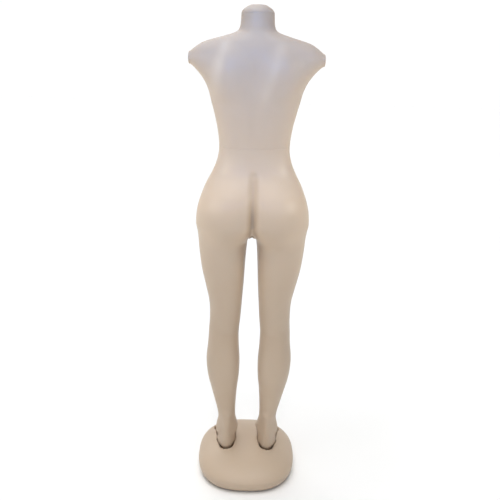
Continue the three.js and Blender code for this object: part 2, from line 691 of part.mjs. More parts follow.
for (const [i, [x, y]] of screwPlaces.entries()) {
  const head = cylinder(SCREW_HEAD_RADIUS, PLATE_Z - FIT_GAP - 2.6, PLATE_Z - FIT_GAP, x, y, 10);
  const shank = cylinder(SCREW_RADIUS - FIT_GAP, PLATE_Z - 1, PLATE_TOP + 14, x, y, 8);
  add("base_screw_" + (i + 1), head.add(shank), STEEL);
}
for (const [i, [x, y]] of rubberPlaces.entries()) {
  const profile = [[0, 0], [10, 0], [11.5, 1.5], [13, PLATE_Z - FIT_GAP], [0, PLATE_Z - FIT_GAP]];
  add("rubber_foot_" + (i + 1), turned(profile).translate([x, y, 0]), RUBBER);
}

// A steel peg for each heel stands on the plate, with a collar above it and a nut and washer below.
for (const [name, side] of SIDES) {
  const { x, y } = pegPlace(side);
  plate = plate.subtract(cylinder(PEG_RADIUS + FIT_GAP, 0, 30, x, y));
  const [r, top] = [PEG_RADIUS, PEG_TOP_Z - 1];
  const bottom = PEG_BOTTOM_Z;
  const profile = [[0, bottom], [r, bottom], [r, top - 4], [r - 2.5, top], [0, top]];
  const rod = turned(profile).translate([x, y, 0]);
  const collar = cylinder(PEG_COLLAR_RADIUS, PLATE_TOP + FIT_GAP, PLATE_TOP + 8, x, y);
  add("heel_peg_" + name, rod.add(collar), STEEL);
  const around = cylinder(PEG_RADIUS + FIT_GAP, 0, 30, x, y);
  const washerTop = PLATE_Z - FIT_GAP;
  add("peg_washer_" + name, cylinder(11, washerTop - 1.2, washerTop, x, y).subtract(around), STEEL);
  const nutSolid = cylinder(8.6, washerTop - 5.7, washerTop - 1.5, x, y, 6);
  add("peg_nut_" + name, nutSolid.subtract(around), STEEL);
}
add("base_plate", plate, PAINTED_STEEL);

export default mannequin;
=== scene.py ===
"""Looks of the full body mannequin: its moulded shells, caps and domed base, worked out as one
smooth figure from a few stations, with every material made of nodes. Shapes are described in
millimetres and meshes are made in metres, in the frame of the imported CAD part."""

import json
import math

import bmesh
import bpy
import numpy as np
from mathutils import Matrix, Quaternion, Vector


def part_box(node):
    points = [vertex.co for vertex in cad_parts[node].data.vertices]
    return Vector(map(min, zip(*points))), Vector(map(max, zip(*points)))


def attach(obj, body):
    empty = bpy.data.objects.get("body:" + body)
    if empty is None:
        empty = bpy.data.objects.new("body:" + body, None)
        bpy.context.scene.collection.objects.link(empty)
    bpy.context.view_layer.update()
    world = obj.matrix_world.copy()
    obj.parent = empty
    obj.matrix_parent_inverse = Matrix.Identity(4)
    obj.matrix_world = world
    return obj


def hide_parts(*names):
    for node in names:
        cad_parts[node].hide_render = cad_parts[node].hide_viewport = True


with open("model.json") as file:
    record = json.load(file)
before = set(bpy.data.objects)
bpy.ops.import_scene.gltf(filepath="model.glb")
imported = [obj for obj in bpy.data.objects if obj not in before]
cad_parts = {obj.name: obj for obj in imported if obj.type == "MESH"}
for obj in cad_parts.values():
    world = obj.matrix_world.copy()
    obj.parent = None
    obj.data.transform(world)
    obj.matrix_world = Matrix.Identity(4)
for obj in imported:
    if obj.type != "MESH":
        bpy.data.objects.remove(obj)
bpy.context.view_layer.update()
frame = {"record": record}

MM = 0.001

# ---- Places taken from the frame, in millimetres ----


def low_high(node):
    """A CAD node's lowest and highest corners."""
    low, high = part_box(node)
    return np.array(low) / MM, np.array(high) / MM


def heights(node):
    return tuple(corner[2] for corner in low_high(node))


def middle(node):
    return sum(low_high(node)) / 2


def size(node):
    low, high = low_high(node)
    return high - low


SOCKET_FLANGE = 3.0  # how far a socket's flange stands out from its ring

BASE_WIDTH, BASE_DEPTH = size("base_cover")[:2]
BASE_RIM_Z, BASE_HEIGHT = heights("base_cover")
PLATE_BOTTOM, PLATE_TOP = heights("base_plate")
WAIST_Z = (heights("lower_body_shell")[1] + heights("torso_shell")[0]) / 2
WAIST_Y = middle("waist_swivel")[1]
NECK_SEAM_Z = heights("torso_shell")[1]
NECK_TOP_Z = heights("neck_cap")[1]
NECK_Y = middle("neck_socket")[1]
NECK_SOCKET_RADIUS = size("neck_socket")[0] / 2 - SOCKET_FLANGE
ARM_END_X = low_high("torso_shell")[1][0]
ARM_END_Z = middle("arm_socket_left")[2]
ARM_SOCKET_RADIUS = size("arm_socket_left")[1] / 2 - SOCKET_FLANGE
PEG_X, PEG_Y = middle("heel_peg_left")[:2]
HEEL_SOCKET_RADIUS = size("heel_socket_left")[0] / 2 - SOCKET_FLANGE

# ---- Stations of the figure ----
# Millimetres. The back of the figure is towards +Y, and each row is one station of its shape.

# Trunk: z, half width, reach to the back, reach to the front, y of the widest line, squareness.
TRUNK = [
    [1560, 49, 36, 66, -15, 2.0],
    [1515, 50.5, 41, 64, -12, 2.0],
    [1494, 52.7, 47, 63, -8, 2.0],
    [1480, 58.5, 53, 63, -3, 2.0],
    [1468, 79, 58.5, 64, 2, 2.0],
    [1452, 114, 66, 67, 4, 2.1],
    [1430, 134, 75, 72, 5, 2.2],
    [1395, 144.5, 84.5, 81, 5, 2.3],
    [1350, 148, 91, 90, 4, 2.35],
    [1300, 142, 90, 96, 3, 2.35],
    [1250, 129.5, 82, 97, 1, 2.3],
    [1200, 118, 71, 92, -3, 2.25],
    [1155, 112, 62, 87, -8, 2.2],
    [1120, 112, 59, 87, -8, 2.2],
    [1085, 120.5, 63, 91, -5, 2.2],
    [1055, 133.5, 73, 96, 0, 2.25],
    [1020, 152, 98, 101, 6, 2.5],
    [985, 165.5, 120, 102, 12, 2.65],
    [945, 175, 131, 99, 17, 2.75],
    [900, 179.5, 124, 90, 18, 2.65],
    [868, 177, 110, 80, 14, 2.5],
    [820, 171, 93, 70, 8, 2.3],
]
CROTCH_ZONE = (834, 902)  # the trunk changes over to the legs between these heights

# Channel between the buttocks: z, depth.
CLEFT = [[1075, 0], [1055, 3], [1030, 7], [1000, 12], [965, 16], [930, 18], [895, 17], [860, 13], [820, 8]]

# Arm stub: x, z of its middle, half height, half depth, y of its middle.
ARM = [
    [90, 1392, 74, 58, 8],
    [134, 1390, 67, 58, 6],
    [163, 1397.5, 50, 51, 3],
    [180, 1401, 36.5, 43, 1],
    [195, 1402.5, 23.5, 33, 0],
    [204, 1402, 17, 28, 0],
]

# One leg: z, x of its middle, half width, reach to the back, reach to the front.
LEG = [
    [900, 92, 87, 96, 84],
    [850, 93.5, 81, 93, 80],
    [800, 94, 76.5, 87, 78],
    [740, 92, 71, 79.5, 76],
    [680, 87, 63, 69, 72],
    [620, 83, 55, 58, 67],
    [560, 84, 52, 50, 62],
    [510, 87.5, 51, 47, 58],
    [470, 88, 52.5, 55, 52],
    [425, 88.5, 55.5, 69, 45],
    [385, 87.5, 54.5, 73, 42],
    [345, 85.5, 51, 69, 40],
    [300, 82.5, 44, 58, 38],
    [255, 78.5, 37, 48, 35],
    [210, 74, 31, 41, 33],
    [175, 71.5, 29.5, 38, 35],
    [145, 70.5, 30, 36, 38],
    [112, 70, 26.5, 32, 40],
]
ANKLE_Z = 118  # where the leg ends inside the foot

HEEL_X = 70
HEEL_BACK_Y = 46
FOOT_TOE_OUT = math.radians(3)

# Toes, from the big one: root and tip as (forward of the heel, outward, z), and their radii.
TOES = [
    [(164, -22, 53), (203, -17, 49), 16, 11.5],
    [(172, -2, 54), (205, 2, 46), 10.5, 8],
    [(168, 11, 52), (199, 14, 45), 10, 7.5],
    [(161, 22, 50), (190, 25, 44), 9.5, 7],
    [(150, 31, 49), (178, 34, 43), 9.5, 7],
]


def along(stations, column, at):
    """A smooth curve through the stations' values in one column, at the position `at`."""
    rows = np.array(stations, float)
    rows = rows[np.argsort(rows[:, 0])]
    position, value = rows[:, 0], rows[:, column]
    slope = np.empty_like(value)
    slope[1:-1] = (value[2:] - value[:-2]) / (position[2:] - position[:-2])
    slope[0] = (value[1] - value[0]) / (position[1] - position[0])
    slope[-1] = (value[-1] - value[-2]) / (position[-1] - position[-2])
    i = np.clip(np.searchsorted(position, at) - 1, 0, len(position) - 2)
    span = position[i + 1] - position[i]
    t = np.clip((at - position[i]) / span, 0, 1)
    return (
        value[i] * (1 + 2 * t) * (1 - t) ** 2
        + slope[i] * span * t * (1 - t) ** 2
        + value[i + 1] * t * t * (3 - 2 * t)
        - slope[i + 1] * span * t * t * (1 - t)
    )


# ---- Distances, and how they join ----


def join(a, b, rounding):
    """The union of two distances, with the crease between them rounded."""
    h = np.maximum(rounding - np.abs(a - b), 0) / rounding
    return np.minimum(a, b) - h * h * rounding / 4


def carve(a, b, rounding):
    """What is left of a without b, with the edge between them rounded."""
    return -join(-a, b, rounding)


def oval(x, y, half, back, front, widest, squareness):
    """A closed outline that is widest at y = widest and reaches to y = back and y = -front."""
    v = y - widest
    reach = np.where(v > 0, back - widest, front + widest)
    q = (np.abs(x / half) ** squareness + np.abs(v / reach) ** squareness) ** (1 / squareness)
    q = np.maximum(q, 0.05)
    return np.hypot(x, v) * (1 - 1 / q) + np.where(q <= 0.05, -half, 0)


def ellipsoid(x, y, z, at, reach):
    px, py, pz = x - at[0], y - at[1], z - at[2]
    a, b, c = reach
    q = np.sqrt((px / a) ** 2 + (py / b) ** 2 + (pz / c) ** 2)
    r = np.sqrt((px / a**2) ** 2 + (py / b**2) ** 2 + (pz / c**2) ** 2)
    return q * (q - 1) / np.maximum(r, 1e-6)


def cone(x, y, z, start, end, start_radius, end_radius):
    """A round bar from start to end, whose radius changes along it."""
    axis = np.subtract(end, start).astype(float)
    px, py, pz = x - start[0], y - start[1], z - start[2]
    t = np.clip((px * axis[0] + py * axis[1] + pz * axis[2]) / (axis @ axis), 0, 1)
    off = np.sqrt((px - t * axis[0]) ** 2 + (py - t * axis[1]) ** 2 + (pz - t * axis[2]) ** 2)
    return off - (start_radius + t * (end_radius - start_radius))


def bell(value, top, width):
    """1 where the value is at the top of the bell, and falling to 0 on both sides."""
    return np.exp(-(((value - top) / width) ** 2))


def step(value, low, high):
    """A smooth rise from 0 at low to 1 at high."""
    t = np.clip((value - low) / (high - low), 0, 1)
    return t * t * (3 - 2 * t)


def meets(z, low, high):
    """Whether any of the heights lies in a zone, so that a shape there is worth working out."""
    return z.max() > low and z.min() < high


# ---- The figure ----


def arm_stub(x, y, z):
    """The shoulder and the stub of the arm: an oval across x that shrinks towards the tip."""
    middle_z, high, deep, middle_y = (along(ARM, c, x) for c in range(1, 5))
    return oval(y - middle_y, z - middle_z, deep, high, high, 0, 2.0)


def back_relief(x, y, z):
    """Depth taken off the back: the furrow of the spine and the channel between the buttocks."""
    behind = step(y, 0, 25)
    spine = 3.5 * bell(x, 0, 16) * step(z, 1160, 1220) * (1 - step(z, 1330, 1440))
    channel = along(CLEFT, 1, z) * np.exp(-((x / 14.5) ** 1.6))
    dimple = 3.5 * bell(x, 0, 10) * bell(z, 1055, 10)
    return behind * (spine + channel + dimple)


def front_relief(x, y, z):
    """Depth taken off the front: the middle line of the belly and chest, and the navel."""
    before = step(-y, 0, 25)
    middle_line = 2.2 * bell(x, 0, 13) * step(z, 1085, 1110) * (1 - step(z, 1190, 1240))
    breastbone = 3.0 * bell(x, 0, 15) * step(z, 1290, 1330) * (1 - step(z, 1400, 1440))
    navel = 6.0 * np.exp(-((x / 6.5) ** 2) - ((z - 1072) / 8.5) ** 2)
    return before * (middle_line + breastbone + navel)


def chest(d, x, y, z):
    """Adds the bust, the shoulder blades and the collarbones, and sinks the pit of the throat."""
    if meets(z, 1180, 1440):
        d = join(d, ellipsoid(x, y, z, (67, -54, 1312), (54, 50, 82)), 30)
        d = join(d, ellipsoid(x, y, z, (71, -70, 1266), (62, 64, 57)), 18)
    if meets(z, 1260, 1450):
        d = join(d, ellipsoid(x, y, z, (74, 56, 1352), (50, 36, 66)), 30)
    if meets(z, 1400, 1480):
        d = join(d, cone(x, y, z, (18, -57, 1447), (102, -31, 1439), 7.5, 6.5), 20)
        d = carve(d, ellipsoid(x, y, z, (0, -72, 1462), (13, 12, 14)), 16)
    return d


def trunk(x, y, z):
    half, back, front, widest, square = (along(TRUNK, c, z) for c in range(1, 6))
    d = oval(x, y, half, back, front, widest, square)
    if meets(z, 1250, 1520):
        d = join(d, arm_stub(x, y, z), 34)
    d = chest(d, x, y, z)
    if meets(z, 900, 1130):
        belly = ellipsoid(x, y, z, (0, -52, 1000), (100, 56, 84))
        d = join(d, belly, 30)
    return d


def calf_and_knee(d, x, y, z):
    if meets(z, 280, 520):
        d = join(d, ellipsoid(x, y, z, (72, 36, 405), (29, 35, 92)), 26)
        d = join(d, ellipsoid(x, y, z, (103, 34, 425), (25.5, 32, 84)), 26)
    if meets(z, 520, 700):
        d = join(d, ellipsoid(x, y, z, (84, -48, 598), (25, 19, 34)), 22)
        d = join(d, ellipsoid(x, y, z, (84, -50, 548), (13, 11, 20)), 16)
    if meets(z, 230, 540):
        d = join(d, cone(x, y, z, (78, -34, 500), (70, -24, 260), 16, 10), 20)
    return d


def leg(x, y, z):
    middle_x, half, back, front = (along(LEG, c, z) for c in range(1, 5))
    d = oval(x - middle_x, y, half, back, front, (back - front) / 2, 2.1)
    d = calf_and_knee(d, x, y, z)
    return carve(d, z - ANKLE_Z, 20) if meets(z, 0, 180) else d


def foot_place(x, y):
    """Forward of the back of the heel, and outward of the foot's middle line."""
    s, c = math.sin(FOOT_TOE_OUT), math.cos(FOOT_TOE_OUT)
    u, v = x - HEEL_X, y - HEEL_BACK_Y
    return u * s - v * c, u * c + v * s


def sole_z(forward):
    return 60 - 25 * step(forward, 70, 168)


def foot(x, y, z):
    """The heel, instep, sole, ball and ankle bones, with the toes, cut level at the sole."""
    f, o = foot_place(x, y)
    d = ellipsoid(f, o, z, (27, 0, 92), (27, 24, 36))
    d = join(d, cone(f, o, z, (46, 0, 146), (112, -7, 92), 27, 22), 18)
    d = join(d, cone(f, o, z, (46, 0, 152), (50, 0, 92), 26.5, 29), 14)
    d = join(d, cone(f, o, z, (52, 0, 88), (142, 3, 62), 29, 25), 16)
    d = join(d, cone(f, o, z, (152, -20, 56), (139, 23, 54), 20.5, 17), 14)
    d = join(d, ellipsoid(f, o, z, (42, -24, 142), (13, 8, 12)), 16)
    d = join(d, ellipsoid(f, o, z, (48, 25, 132), (12, 8, 12)), 16)
    d = join(d, cone(f, o, z, (7, 0, 92), (5, 0, 200), 11, 9), 16)
    if meets(z, 0, 90):
        for root, tip, root_radius, tip_radius in TOES:
            d = join(d, cone(f, o, z, root, tip, root_radius, tip_radius), 5)
    return carve(d, z - sole_z(f), 9)


def figure(x, y, z):
    """Distance to the surface of the whole figure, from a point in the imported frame."""
    x = np.abs(x)
    hip = step(z, *CROTCH_ZONE)
    d = 0
    if meets(z, CROTCH_ZONE[0], 2000):
        d = d + hip * trunk(x, y, z)
    if meets(z, 90, CROTCH_ZONE[1]):
        d = d + (1 - hip) * leg(x, y, z)
    if meets(z, 0, 240):
        d_foot = foot(x, y, z)
        d = join(d, d_foot, 22) if meets(z, 90, 240) else d_foot
    if meets(z, 780, 1040):
        buttock = ellipsoid(x, y, z, (80, 56, 925), (80, 80, 92))
        d = join(d, buttock, 34)
    if meets(z, 800, 1460):
        d = d + back_relief(x, y, z) + front_relief(x, y, z)
    return d


# ---- The base ----

BASE_SQUARENESS = 2.55  # of the base seen from above
BASE_WIDEST_Z = 36.0
BASE_TUCK = 12.0  # how far in the rim is from the widest outline
PLATE_INSET = 20.0
WELL_GAP = 2.4  # between the well and the plan of the foot, at the heel
WELL_NARROWING = 0.45  # part of that gap that is lost further forward


def out_from_middle(x, y, inset=0):
    """How far out a point is in the plan of the base, where 1 is on its outline."""
    across = np.abs(x / (BASE_WIDTH / 2 - inset)) ** BASE_SQUARENESS
    along_y = np.abs(y / (BASE_DEPTH / 2 - inset)) ** BASE_SQUARENESS
    return (across + along_y) ** (1 / BASE_SQUARENESS)


def bun(x, y, z):
    """The puffy body of the base: a dome over a rim that tucks in."""
    out = out_from_middle(x, y)
    rise = BASE_HEIGHT - BASE_WIDEST_Z
    up = np.maximum(z - BASE_WIDEST_Z, 0) / rise
    down = np.maximum(BASE_WIDEST_Z - z, 0) / (BASE_WIDEST_Z - BASE_RIM_Z)
    q = (out**3 + up**1.5) ** 0.4
    return (q - 1) * rise * (1.6 + 1.2 * out**4) + BASE_TUCK * down**2.5


def foot_plan(x, y):
    """Distance in plan to an outline round one foot, with room to spare behind the heel."""
    f, o = foot_place(x, y)
    zero = np.zeros_like(f)
    d = cone(f, o, zero, (12, 0, 0), (54, 0, 0), 23, 30)
    d = join(d, cone(f, o, zero, (54, 0, 0), (152, 0, 0), 30, 40.5), 10)
    return join(d, cone(f, o, zero, (152, 0, 0), (184, -4, 0), 40.5, 32), 10)


def well(x, y, z):
    """Room for one foot, open at the top, with a rounded floor."""
    f, _ = foot_place(x, y)
    gap = WELL_GAP * (1 - WELL_NARROWING * step(f, 30, 80))
    return carve(foot_plan(x, y) - gap, z - sole_z(f) + 1.0, 6)


def base_cover(x, y, z):
    """The bun with its two wells, cut off at the rim and hollowed for the steel plate."""
    d = carve(bun(x, y, z), well(np.abs(x), y, z), 2.5)
    d = carve(d, z - BASE_RIM_Z, 1.5)
    under = (out_from_middle(x, y, PLATE_INSET - 3) - 1) * BASE_WIDTH / 2
    return carve(d, np.maximum(under, z - PLATE_TOP - 1.5), 1.5)


# ---- From distances to meshes ----


def sampled(field, low, high, pitch):
    """The field on a grid that is symmetrical in x, worked out on its positive half."""
    half = np.arange(0, high[0] + pitch, pitch)
    ys, zs = (np.arange(low[i], high[i] + pitch, pitch) for i in (1, 2))
    values = np.empty((len(half), len(ys), len(zs)), np.float32)
    for k in range(0, len(zs), 16):
        part = slice(k, k + 16)
        values[:, :, part] = field(half[:, None, None], ys[None, :, None], zs[None, None, part])
    origin = np.array([-half[-1], low[1], low[2]])
    return np.concatenate([values[:0:-1], values]), origin


def net(values):
    """Points and four-sided faces of the surface where the sampled values change sign."""
    inside = values < 0
    cells = tuple(n - 1 for n in values.shape)
    total, count = np.zeros((*cells, 3), np.float32), np.zeros(cells, np.int16)
    crossings = []
    for axis in range(3):
        across = [(axis + 1) % 3, (axis + 2) % 3]
        near = [slice(None)] * 3
        far = [slice(None)] * 3
        near[axis], far[axis] = slice(0, -1), slice(1, None)
        near, far = tuple(near), tuple(far)
        edge = np.argwhere(inside[near] != inside[far])
        a = values[near][tuple(edge.T)]
        b = values[far][tuple(edge.T)]
        point = edge.astype(np.float32)
        point[:, axis] += a / (a - b)
        corners = []
        for back in ((1, 1), (0, 1), (0, 0), (1, 0)):
            cell = edge.copy()
            cell[:, across[0]] -= back[0]
            cell[:, across[1]] -= back[1]
            fits = np.all((cell >= 0) & (cell < cells), axis=1)
            place = tuple(cell[fits].T)
            total[place] += point[fits]
            count[place] += 1
            corners.append((cell, fits))
        crossings.append((corners, a < 0))
    used = count > 0
    number = np.full(cells, -1, np.int64)
    number[used] = np.arange(used.sum())
    points = total[used] / count[used][:, None]
    faces = []
    for corners, outward in crossings:
        whole = np.all([fits for _, fits in corners], axis=0)
        quad = np.stack([number[tuple(cell[whole].T)] for cell, _ in corners], axis=1)
        faces.append(np.where(outward[whole][:, None], quad, quad[:, ::-1]))
    return points.astype(float), np.concatenate(faces)


def distances(field, points):
    """The field at points in any order, worked out in slices of nearby height."""
    order = np.argsort(points[:, 2])
    result = np.empty(len(points))
    for k in range(0, len(points), 6000):
        part = order[k : k + 6000]
        result[part] = field(*points[part].T)
    return result


def settled(field, points, faces, rounds=3):
    """Points evened out along the surface and then set exactly on it."""
    edges = np.concatenate([faces[:, [i, (i + 1) % 4]] for i in range(4)])
    nudge = 0.3
    for _ in range(rounds):
        mean = np.empty_like(points)
        neighbours = np.bincount(edges[:, 0], minlength=len(points))
        for i in range(3):
            mean[:, i] = np.bincount(edges[:, 0], points[edges[:, 1], i], len(points))
        even = mean / np.maximum(neighbours, 1)[:, None]
        points = np.where((neighbours > 2)[:, None], (points + even) / 2, points)
        slope = np.empty_like(points)
        for i in range(3):
            shift = np.zeros(3)
            shift[i] = nudge
            ahead, behind = distances(field, points + shift), distances(field, points - shift)
            slope[:, i] = (ahead - behind) / (2 * nudge)
        steep = np.maximum((slope**2).sum(1), 0.05)
        move = distances(field, points) / steep
        points = points - np.clip(move, -2, 2)[:, None] * slope
    return points


def surface(field, low, high, pitch):
    """A bmesh of the field's surface inside a box, in metres."""
    values, origin = sampled(field, low, high, pitch)
    points, faces = net(values)
    points = settled(field, points * pitch + origin, faces)
    mesh = bpy.data.meshes.new("surface")
    mesh.from_pydata(points * MM, [], faces.tolist())
    bm = bmesh.new()
    bm.from_mesh(mesh)
    bpy.data.meshes.remove(mesh)
    return bm


def cut(bm, axis, place, keep_low):
    """Cuts the mesh off at a plane across an axis and returns the open loop of vertices there."""
    normal = [0, 0, 0]
    normal[axis] = 1
    where = [0, 0, 0]
    where[axis] = place * MM
    everything = bm.verts[:] + bm.edges[:] + bm.faces[:]
    bmesh.ops.bisect_plane(
        bm,
        geom=everything,
        dist=1e-6,
        plane_co=where,
        plane_no=normal,
        clear_outer=keep_low,
        clear_inner=not keep_low,
    )
    open_edges = [
        e
        for e in bm.edges
        if e.is_boundary and all(abs(v.co[axis] - place * MM) < 1e-6 for v in e.verts)
    ]
    beside = {}
    for e in open_edges:
        a, b = e.verts
        beside.setdefault(a, []).append(b)
        beside.setdefault(b, []).append(a)
    loop = [open_edges[0].verts[0]]
    before = None
    while True:
        onward = [v for v in beside[loop[-1]] if v is not before]
        if onward[0] is loop[0] and len(loop) > 2:
            break
        before = loop[-1]
        loop.append(onward[0])
        if len(loop) > len(beside):
            raise ValueError("the cut isn't one loop")
    return loop


def signed_area(points):
    x, y = points[:, 0], points[:, 1]
    return (x * np.roll(y, -1) - y * np.roll(x, -1)).sum() / 2


def inward(flat):
    """Unit directions that point into a closed outline, at each of its points."""
    tangent = np.roll(flat, -1, axis=0) - np.roll(flat, 1, axis=0)
    normal = np.stack([-tangent[:, 1], tangent[:, 0]], axis=1)
    normal /= np.maximum(np.linalg.norm(normal, axis=1), 1e-9)[:, None]
    return normal if signed_area(flat) > 0 else -normal


def bridge(bm, a, b):
    """Faces between two loops of the same length."""
    made = []
    for i in range(len(a)):
        j = (i + 1) % len(a)
        made.append(bm.faces.new((a[i], a[j], b[j], b[i])))
    return made


def finish_opening(bm, loop, axis, profile, circle=None):
    """Closes an open loop with rings that follow `profile`: how far in, and how far along the axis,
    in millimetres. With `circle` (centre, radius, depth) it goes on to a round blind hole."""
    flat_axes = [i for i in range(3) if i != axis]
    points = np.array([v.co for v in loop]) / MM
    flat = points[:, flat_axes]
    direction = inward(flat)
    rings = []
    for inset, along_axis in profile:
        ring = points.copy()
        ring[:, flat_axes] = flat + inset * direction
        ring[:, axis] += along_axis
        rings.append(ring)
    if circle:
        centre, radius, depth = circle
        turn = np.arctan2(flat[:, 1] - centre[1], flat[:, 0] - centre[0])
        level = rings[-1][:, axis].mean()
        for r, down in ((radius, 0), (radius - 0.4, depth * 0.03), (radius - 0.4, depth)):
            ring = points.copy()
            ring[:, flat_axes[0]] = centre[0] + r * np.cos(turn)
            ring[:, flat_axes[1]] = centre[1] + r * np.sin(turn)
            ring[:, axis] = level + down
            rings.append(ring)
    last = loop
    for ring in rings:
        verts = [bm.verts.new(p * MM) for p in ring]
        bridge(bm, last, verts)
        last = verts
    bm.faces.new(last)


def finished(bm, name, sharp=35):
    """The bmesh as an object with smooth shading, sharp only at its real edges."""
    bmesh.ops.recalc_face_normals(bm, faces=bm.faces[:])
    mesh = bpy.data.meshes.new(name)
    bm.to_mesh(mesh)
    bm.free()
    mesh.shade_smooth()
    mesh.set_sharp_from_angle(angle=math.radians(sharp))
    obj = bpy.data.objects.new(name, mesh)
    bpy.context.scene.collection.objects.link(obj)
    return obj


# ---- Shells ----

WALL = 3.0
SEAM = 0.1  # half of the gap at a seam
LIP = 0.25  # height of the rounded edge of an opening
BORE_ROOM = 0.3  # round a socket in its hole
PITCH = 3.6
BASE_PITCH = 2.1


def rim(up, inside=None):
    """Profile of an opening's edge, rounded towards `up`. With `inside` it turns in over the wall and
    goes that far along it."""
    profile = [(0.06, 0.18 * up), (0.22, LIP * up)]
    if inside is not None:
        profile += [(WALL, LIP * up), (WALL, inside)]
    return profile


def bored(piece, x, y, low, high, radius):
    """Cuts a round upright hole in a piece."""
    bm = bmesh.new()
    centre = Vector((x, y, (low + high) / 2)) * MM
    radius, depth = radius * MM, (high - low) * MM
    bmesh.ops.create_cone(bm, cap_ends=True, segments=48, radius1=radius, radius2=radius, depth=depth)
    bmesh.ops.translate(bm, verts=bm.verts[:], vec=centre)
    tool = finished(bm, "tool")
    modifier = piece.modifiers.new("bore", "BOOLEAN")
    modifier.object = tool
    modifier.solver = "EXACT"
    result = bpy.data.meshes.new_from_object(piece.evaluated_get(bpy.context.evaluated_depsgraph_get()))
    piece.modifiers.clear()
    piece.data = result
    bpy.data.objects.remove(tool)


def lower_body():
    """The lower shell, and the outline of its waist."""
    bm = surface(figure, (-196, -190, 24), (196, 170, WAIST_Z + 9), PITCH)
    loop = cut(bm, 2, WAIST_Z - SEAM - LIP, keep_low=True)
    outline = outline_of(loop)
    finish_opening(bm, loop, 2, rim(1, inside=-34))
    piece = finished(bm, "lower_body")
    for side in (1, -1):
        bored(piece, side * PEG_X, PEG_Y, 40, 76, HEEL_SOCKET_RADIUS + BORE_ROOM)
    return piece, outline


def torso():
    """The upper shell, and the outlines of its neck and arm openings."""
    bm = surface(figure, (-224, -190, WAIST_Z - 9), (224, 140, NECK_SEAM_Z + 9), PITCH)
    loop = cut(bm, 2, WAIST_Z + SEAM + LIP, keep_low=False)
    finish_opening(bm, loop, 2, rim(-1, inside=36))
    loop = cut(bm, 2, NECK_SEAM_Z - LIP, keep_low=True)
    neck = outline_of(loop)
    hole = ((0, NECK_Y), NECK_SOCKET_RADIUS + BORE_ROOM, -30)
    finish_opening(bm, loop, 2, rim(1), hole)
    for side in (1, -1):
        loop = cut(bm, 0, side * (ARM_END_X - LIP), keep_low=side > 0)
        arm = outline_of(loop)
        hole = ((0, ARM_END_Z), ARM_SOCKET_RADIUS + BORE_ROOM, -24 * side)
        finish_opening(bm, loop, 0, rim(side), hole)
    return finished(bm, "torso"), neck, arm


def base():
    low = (-BASE_WIDTH / 2 - 6, -BASE_DEPTH / 2 - 6, BASE_RIM_Z - 5)
    high = (BASE_WIDTH / 2 + 6, BASE_DEPTH / 2 + 6, BASE_HEIGHT + 6)
    piece = finished(surface(base_cover, low, high, BASE_PITCH), "base")
    for side in (1, -1):
        bored(piece, side * PEG_X, PEG_Y, 20, 76, size("heel_peg_left")[0] / 2 - 3.4)
    return piece


# ---- Lofted pieces ----
# A ring is a radius, or one for each turn round the axis, and a place along the axis.

TURNS = np.linspace(0, 2 * np.pi, 96, endpoint=False)


def outline_of(loop):
    return np.array([v.co for v in loop]) / MM


def radii(outline, centre, axes):
    """An outline's distance from a centre, for each turn round it."""
    x, y = outline[:, axes[0]] - centre[0], outline[:, axes[1]] - centre[1]
    turn = np.arctan2(y, x)
    order = np.argsort(turn)
    return np.interp(TURNS, turn[order], np.hypot(x, y)[order], period=2 * np.pi)


def square(side, corner):
    """The radius of a rounded square, for each turn."""
    c, s = np.abs(np.cos(TURNS)), np.abs(np.sin(TURNS))
    straight = side / 2 / np.maximum(c, s)
    k = side / 2 - corner
    b = k * (c + s)
    rounded = b + np.sqrt(np.maximum(b * b - 2 * k * k + corner * corner, 0))
    return np.where(np.minimum(c, s) * straight > k, rounded, straight)


def hexagon(radius):
    return radius * math.cos(math.pi / 6) / np.cos(np.mod(TURNS, math.pi / 3) - math.pi / 6)


def cross(reach, width):
    """The radius of a plus-shaped recess, for each turn."""
    c, s = np.abs(np.cos(TURNS)) + 1e-9, np.abs(np.sin(TURNS)) + 1e-9
    return np.maximum(np.minimum(reach / c, width / 2 / s), np.minimum(reach / s, width / 2 / c))


def plan_of_base(inset):
    c, s = np.cos(TURNS), np.sin(TURNS)
    return 1 / out_from_middle(c, s, inset)


def loft(name, centre, rings, axis="z", closed=False, sharp=30):
    """A body through rings about an axis: 'z', 'x' or '-x'. Its ends are closed, or joined to each other."""
    bm = bmesh.new()
    loops = []
    for radius, place in rings:
        across, over = radius * np.cos(TURNS), radius * np.sin(TURNS)
        along_axis = np.full_like(TURNS, place)
        if axis == "z":
            points = [across, over, along_axis]
        elif axis == "x":
            points = [along_axis, across, over]
        else:
            points = [-along_axis, across, over]
        points = np.stack(points, axis=1) + np.array(centre)
        loops.append([bm.verts.new(p * MM) for p in points])
    for a, b in zip(loops, loops[1:]):
        bridge(bm, a, b)
    if closed:
        bridge(bm, loops[-1], loops[0])
    else:
        bm.faces.new(loops[0])
        bm.faces.new(loops[-1])
    return finished(bm, name, sharp)


def thread(radius, low, high, pitch=1.0, depth=0.5):
    """Rings of a screw thread."""
    places = np.arange(low, high, pitch / 2)
    return [(radius - depth * (i % 2), z) for i, z in enumerate(places)]


# ---- Caps ----

CAP_GAP = 0.15
PLUG_CLEARANCE = 3.0  # the socket's wall and the room round the plug
PLUG_DEPTH = 13.0

# How far up the neck cap, and how wide it is there.
NECK_CAP = [[0, 1], [0.16, 0.985], [0.36, 0.93], [0.58, 0.82], [0.78, 0.665], [0.93, 0.535], [1.0, 0.44]]


def plug(radius):
    """Rings of a cap's plug, from its tip up to the underside of the cap."""
    r = radius - PLUG_CLEARANCE
    return [(r - 1.5, -PLUG_DEPTH), (r - 0.5, 0.8 - PLUG_DEPTH), (r, 2 - PLUG_DEPTH), (r, CAP_GAP)]


